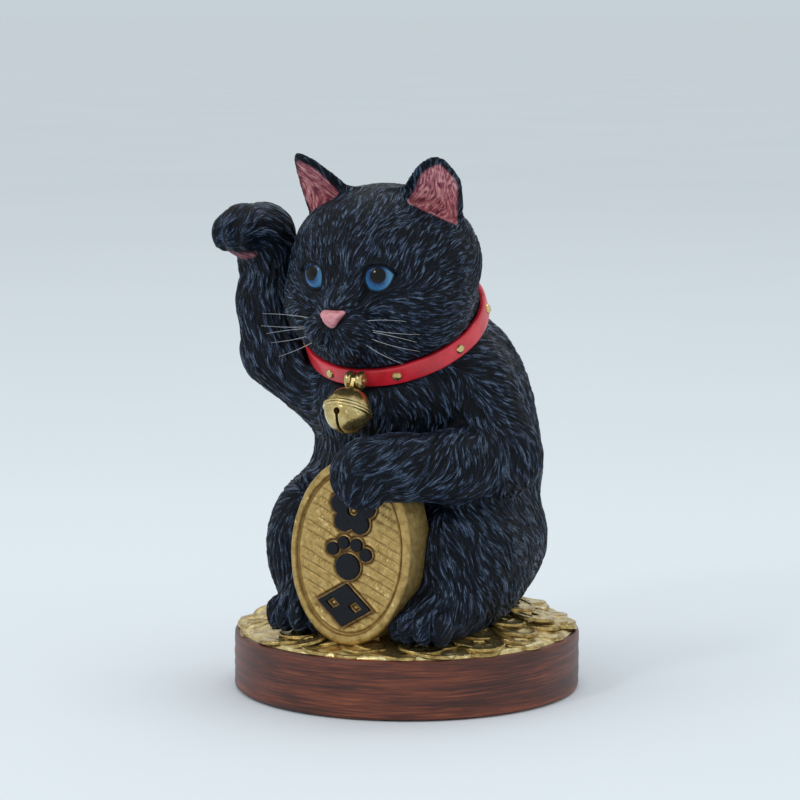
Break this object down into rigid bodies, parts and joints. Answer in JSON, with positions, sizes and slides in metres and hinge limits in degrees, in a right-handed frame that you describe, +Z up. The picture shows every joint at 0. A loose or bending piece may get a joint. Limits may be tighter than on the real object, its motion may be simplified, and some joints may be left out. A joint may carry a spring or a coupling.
{
  "type": "beckoning cat figurine",
  "caption": "Seated black cat figurine with one paw raised and the other over an oval gold plaque, on a bed of coins over a round wooden base, with a collar and a swinging bell.",
  "frame": {"origin": "centre of the round base on the surface it stands on", "axes": "+Z up, the cat looks along -Y, the cat's left side is +X"},
  "size_m": [0.1, 0.1033, 0.1544],
  "materials": {
    "fur": "painted cast resin, carved fur, dry-brushed",
    "wood": "brushed mahogany stain, satin",
    "felt": "felt",
    "coin_gold": "gold paint with brown wash",
    "koban_gold": "brushed gold paint",
    "emblem_black": "black enamel",
    "brass": "polished, aged in the recesses",
    "steel": "plain",
    "dowel": "plain beech",
    "eye": "clear gloss over painted iris",
    "whisker": "nylon bristle",
    "collar_red": "gloss red lacquer"
  },
  "bodies": {
    "figure": {"felt_pad": "felt", "wood_base": "wood", "base_screws": "steel", "coin_bed": "coin_gold", "torso": "fur", "head": "fur", "raised_arm": "fur", "left_arm": "fur", "neck_dowel": "dowel", "raised_arm_dowel": "dowel", "left_arm_dowel": "dowel", "left_eye": "eye", "right_eye": "eye", "whiskers_left": "whisker", "whiskers_right": "whisker", "collar": "collar_red", "collar_studs": "brass", "bell_bail": "brass", "bell_pin": "brass", "koban": "koban_gold", "koban_dowel": "steel", "koban_emblems": "emblem_black"},
    "bell": {"bell_crown": "brass", "bell_bowl": "brass"},
    "pellet": {"bell_pellet": "steel"}
  },
  "joints": [
    {"name": "bell_swing", "type": "hinge", "parent": "figure", "child": "bell", "pos_m": [0.003, -0.0357, 0.0929], "axis": [-1, 0, 0], "range_deg": [0, 50]},
    {"name": "pellet_roll", "type": "hinge", "parent": "bell", "child": "pellet", "pos_m": [0.003, -0.0403, 0.08493], "axis": [1, 0, 0], "range_deg": [-40, 40]}
  ]
}
